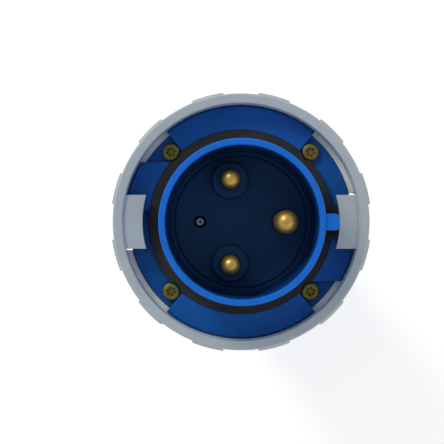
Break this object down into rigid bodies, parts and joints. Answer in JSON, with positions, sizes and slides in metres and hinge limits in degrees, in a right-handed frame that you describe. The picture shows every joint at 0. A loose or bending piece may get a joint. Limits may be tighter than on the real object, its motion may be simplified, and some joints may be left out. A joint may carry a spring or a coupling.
{
  "type": "industrial pin and sleeve plug",
  "caption": "Watertight industrial pin and sleeve plug with round contacts in a keyed shroud, a bayonet locking ring, a tapered housing and a cable gland nut.",
  "frame": {"origin": "centre of the gland nut's end face, on which the plug stands", "axes": "+Z along the plug's axis from the gland nut to the contacts; +X through the earth pin and the shroud's key"},
  "size_m": [0.1144, 0.1144, 0.236],
  "materials": {
    "blue_polyamide": "moulded blue polyamide, satin",
    "carrier_polyamide": "moulded dark blue polyamide, matt",
    "black_polyamide": "moulded glass-filled polyamide, matt",
    "grey_polyamide": "moulded grey polyamide, satin",
    "clamp_polyamide": "moulded grey polyamide, matt",
    "white_nylon": "natural polyamide, matt",
    "gasket_rubber": "moulded black rubber, matt",
    "seal_rubber": "moulded black rubber, matt",
    "brass": "turned brass",
    "yellow_steel": "yellow zinc plated steel",
    "steel": "zinc plated steel"
  },
  "bodies": {
    "plug_body": {"front_sleeve": "blue_polyamide", "pin_carrier": "carrier_polyamide", "carrier_back": "black_polyamide", "carrier_screw": "steel", "earth_pin": "brass", "line_pin": "brass", "neutral_pin": "brass", "pin_seals": "seal_rubber", "terminal_screws": "steel", "face_gasket": "gasket_rubber", "housing_screws": "yellow_steel", "housing_inserts": "brass", "rear_housing": "blue_polyamide", "housing_seal": "seal_rubber", "clamp_base": "clamp_polyamide", "clamp_saddle": "clamp_polyamide", "clamp_screws": "steel", "clamp_nuts": "steel", "gland_seal": "seal_rubber"},
    "ring": {"locking_ring": "grey_polyamide"},
    "washer": {"thrust_washer": "white_nylon"},
    "nut": {"gland_nut": "grey_polyamide"}
  },
  "joints": [
    {"name": "locking_ring_turn", "type": "hinge", "parent": "plug_body", "child": "ring", "pos_m": [0, 0, 0.19], "axis": [0, 0, 1], "range_deg": [0, 44]},
    {"name": "gland_washer_travel", "type": "slide", "parent": "plug_body", "child": "washer", "axis": [0, 0, -1], "range_m": [0, 0.0061]},
    {"name": "gland_nut_turn", "type": "hinge", "parent": "washer", "child": "nut", "pos_m": [0, 0, 0.02], "axis": [0, 0, -1], "range_deg": [0, 720]}
  ],
  "couplings": [
    {"joint": "gland_washer_travel", "follows": "gland_nut_turn", "m_per_rad": 0.00047746}
  ]
}
